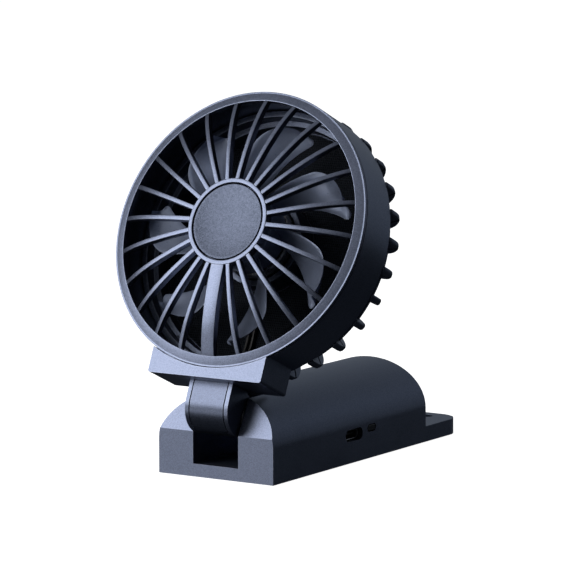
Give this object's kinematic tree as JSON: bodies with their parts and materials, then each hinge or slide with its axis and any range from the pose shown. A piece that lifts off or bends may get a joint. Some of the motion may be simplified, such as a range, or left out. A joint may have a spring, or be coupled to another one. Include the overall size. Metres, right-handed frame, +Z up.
{
  "type": "handheld electric fan",
  "caption": "Folding handheld fan: a round grilled head on a hinged arm, and a flat-bottomed handle with a strap slot that also stands on a desk.",
  "frame": {"origin": "on the handle's flat underside, straight below the tilt hinge", "axes": "+Z up; +Y from the handle's front face to its strap tail; +X to the right as the fan is faced; the fan's axis leans up and forward, 23.7 degrees above -Y, in the stored pose"},
  "size_m": [0.0894, 0.1212, 0.1168],
  "materials": {
    "slate_shell": "slate-blue satin paint with a fine metallic sparkle, darker on shaded sides",
    "slate_front": "the same slate-blue satin paint, catching the front light",
    "blade_plastic": "moulded dark slate plastic, semi-gloss",
    "circuit_board": "green solder mask",
    "nickel": "nickel-plated drawn steel",
    "steel": "bright zinc-plated steel",
    "dark_plastic": "black moulded plastic",
    "milky_plastic": "milky lens of the status light",
    "smoked_plastic": "dark smoked light window",
    "filter_mesh": "fine black woven dust mesh",
    "ferrite": "dark grey sintered ferrite",
    "pouch_foil": "silver laminated battery pouch",
    "foam": "soft grey foam",
    "bronze_bush": "sintered bronze",
    "copper_winding": "enamelled copper winding on steel laminations",
    "black_lead": "black insulated lead"
  },
  "bodies": {
    "handle": {"handle_shell": "slate_shell", "bottom_cover": "slate_shell", "cover_screw_1": "steel", "cover_screw_2": "steel", "cover_screw_3": "steel", "cover_screw_4": "steel", "main_board": "circuit_board", "usb_receptacle": "nickel", "usb_tongue": "dark_plastic", "status_led": "milky_plastic", "charge_chip": "dark_plastic", "boost_inductor": "ferrite", "power_switch": "dark_plastic", "battery_cell": "pouch_foil", "battery_pad": "foam", "led_window": "smoked_plastic", "hinge_pin": "steel", "hinge_pin_cap": "slate_shell", "friction_washer_left": "steel", "friction_washer_right": "steel"},
    "button": {"power_button": "slate_shell"},
    "fan_head": {"hinge_arm": "slate_shell", "arm_panel": "slate_front", "rear_housing": "slate_shell", "arm_screw_1": "steel", "arm_screw_2": "steel", "front_grille": "slate_front", "hub_cap": "slate_shell", "rear_ring": "slate_shell", "rear_grille": "slate_shell", "dust_filter": "filter_mesh", "motor_cup": "slate_shell", "motor_can": "nickel", "motor_magnet": "ferrite", "motor_end_plate": "dark_plastic", "motor_bush": "bronze_bush", "motor_screw_1": "steel", "motor_screw_2": "steel", "motor_lead_1": "black_lead", "motor_lead_2": "black_lead"},
    "rotor": {"impeller": "blade_plastic", "motor_shaft": "steel", "motor_armature": "copper_winding"}
  },
  "joints": [
    {"name": "button_press", "type": "slide", "parent": "handle", "child": "button", "axis": [1, 0, 0], "range_m": [0, 0.0005], "stiffness_N_per_m": 1200},
    {"name": "head_tilt", "type": "hinge", "parent": "handle", "child": "fan_head", "pos_m": [0, 0, 0.0185], "axis": [1, 0, 0], "range_deg": [-9, 113]},
    {"name": "rotor_spin", "type": "hinge", "parent": "fan_head", "child": "rotor", "pos_m": [0, 0.01036, 0.07434], "axis": [0, -0.9157, 0.4019], "continuous": true}
  ]
}
